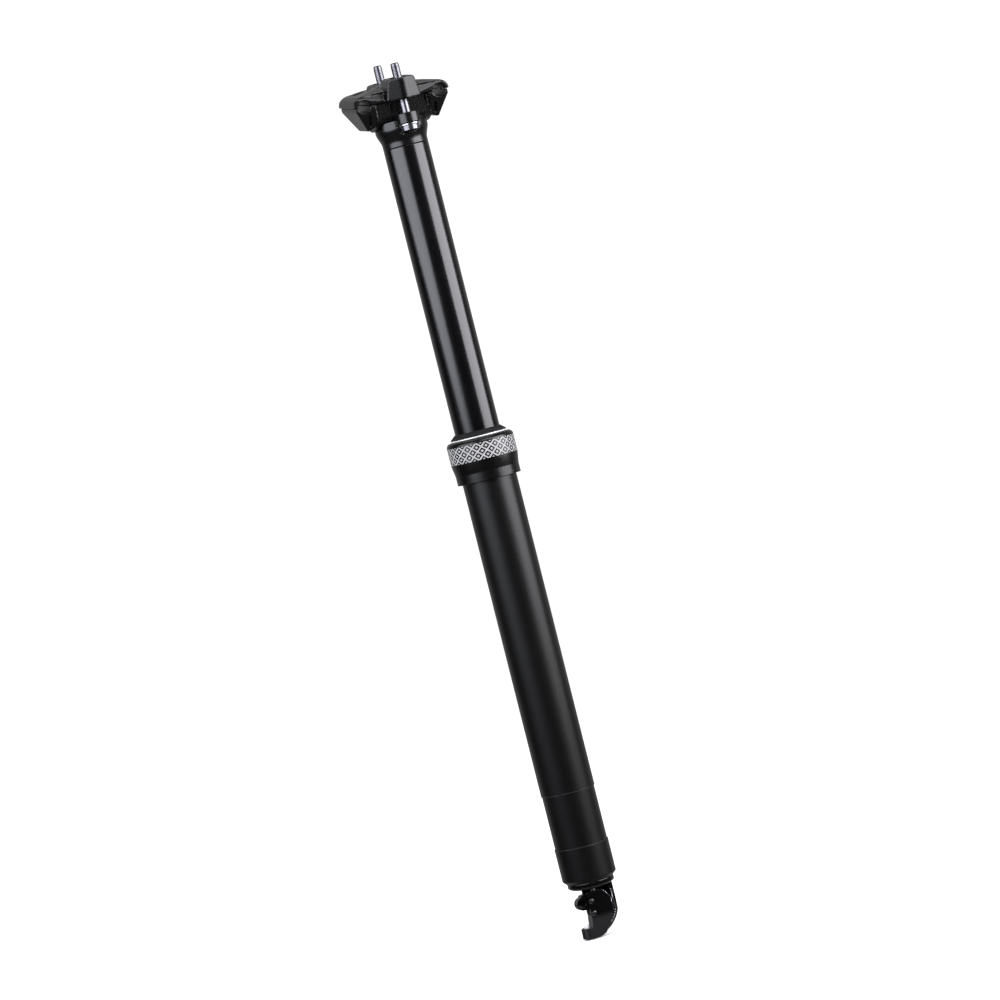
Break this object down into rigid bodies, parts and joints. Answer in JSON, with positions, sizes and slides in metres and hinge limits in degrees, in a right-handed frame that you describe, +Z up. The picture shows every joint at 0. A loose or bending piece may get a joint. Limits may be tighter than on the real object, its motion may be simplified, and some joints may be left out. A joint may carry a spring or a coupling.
{
  "type": "dropper seatpost",
  "caption": "Height-adjustable bicycle seatpost: gloss stanchion sliding in a satin tube, bolted rail clamp on top, cable-pulled release lever below.",
  "frame": {"origin": "on the post's axis at the collar's underside, where a fully inserted post meets the seat tube", "axes": "+Z up the post to the saddle, -Y to the front of the bicycle, +X across the saddle's rails"},
  "size_m": [0.056, 0.053, 0.5025],
  "materials": {
    "satin_black_tube": "fine satin black anodising",
    "satin_black_collar": "satin black anodising",
    "gloss_black_stanchion": "gloss black hard anodising",
    "satin_black_clamp": "satin black anodised forging",
    "gloss_black_casting": "gloss black paint on a casting",
    "gloss_black_lever": "gloss black paint on steel",
    "black_rubber": "matte black seal rubber",
    "bright_ring": "bright wire",
    "bushing_polymer": "grey bearing polymer",
    "polished_steel": "bright zinc-plated or ground steel",
    "dark_steel": "dark oxide steel",
    "brass": "plain brass",
    "plain_aluminium": "plain machined aluminium"
  },
  "bodies": {
    "outer": {"outer_tube": "satin_black_tube", "collar": "satin_black_collar", "wiper_seal": "black_rubber", "wiper_ring": "bright_ring", "upper_bushing": "bushing_polymer", "end_cap": "satin_black_tube", "piston_rod": "polished_steel", "piston": "brass", "piston_ring": "black_rubber", "piston_nut": "polished_steel", "stud_nut": "dark_steel", "actuator_bracket": "gloss_black_casting", "bracket_screws": "polished_steel", "cable_ferrule": "plain_aluminium", "pivot_pin": "polished_steel", "spacer_pin": "polished_steel", "pin_spring": "polished_steel"},
    "stanchion": {"stanchion": "gloss_black_stanchion", "lower_bushing": "bushing_polymer", "anti_rotation_keys": "brass", "cartridge_cylinder": "plain_aluminium", "cartridge_gland": "plain_aluminium", "rod_seal": "black_rubber", "cartridge_clip": "dark_steel", "cartridge_plug": "plain_aluminium", "saddle_head": "gloss_black_stanchion", "clamp_bolts": "polished_steel", "clamp_washers": "polished_steel"},
    "floating_piston": {"floating_piston": "plain_aluminium", "floating_piston_ring": "black_rubber"},
    "rail_clamp": {"lower_cradle": "satin_black_clamp", "upper_clamp": "satin_black_clamp"},
    "front_nut": {"front_clamp_nut": "polished_steel"},
    "rear_nut": {"rear_clamp_nut": "polished_steel"},
    "lever": {"actuator_lever": "gloss_black_lever"},
    "release_pin": {"release_pin": "plain_aluminium", "valve_head": "brass"}
  },
  "joints": [
    {"name": "post_drop", "type": "slide", "parent": "outer", "child": "stanchion", "axis": [0, 0, 1], "range_m": [-0.16, 0], "stiffness_N_per_m": 200, "springref_m": 0.6},
    {"name": "floating_piston_slide", "type": "slide", "parent": "stanchion", "child": "floating_piston", "axis": [0, 0, 1], "range_m": [0, 0.048]},
    {"name": "clamp_tilt", "type": "hinge", "parent": "stanchion", "child": "rail_clamp", "pos_m": [0, 0, 0.2181], "axis": [1, 0, 0], "range_deg": [-10, 10]},
    {"name": "front_nut_slide", "type": "slide", "parent": "stanchion", "child": "front_nut", "axis": [0, 0, 1], "range_m": [-0.0031, 0.0031]},
    {"name": "rear_nut_slide", "type": "slide", "parent": "stanchion", "child": "rear_nut", "axis": [0, 0, 1], "range_m": [-0.0034, 0.0034]},
    {"name": "lever_pull", "type": "hinge", "parent": "outer", "child": "lever", "pos_m": [-0.0035, 0, -0.2428], "axis": [0, -1, 0], "range_deg": [0, 25], "stiffness_Nm_per_rad": 0.05, "springref_deg": -22.92},
    {"name": "release_pin_push", "type": "slide", "parent": "outer", "child": "release_pin", "axis": [0, 0, 1], "range_m": [0, 0.00153], "deforming": ["pin_spring"]}
  ],
  "couplings": [
    {"joint": "floating_piston_slide", "follows": "post_drop", "ratio": -0.29537},
    {"joint": "front_nut_slide", "follows": "clamp_tilt", "m_per_rad": -0.0172},
    {"joint": "rear_nut_slide", "follows": "clamp_tilt", "m_per_rad": 0.0189},
    {"joint": "lever_pull", "follows": "release_pin_push", "rad_per_m": 285.7}
  ]
}
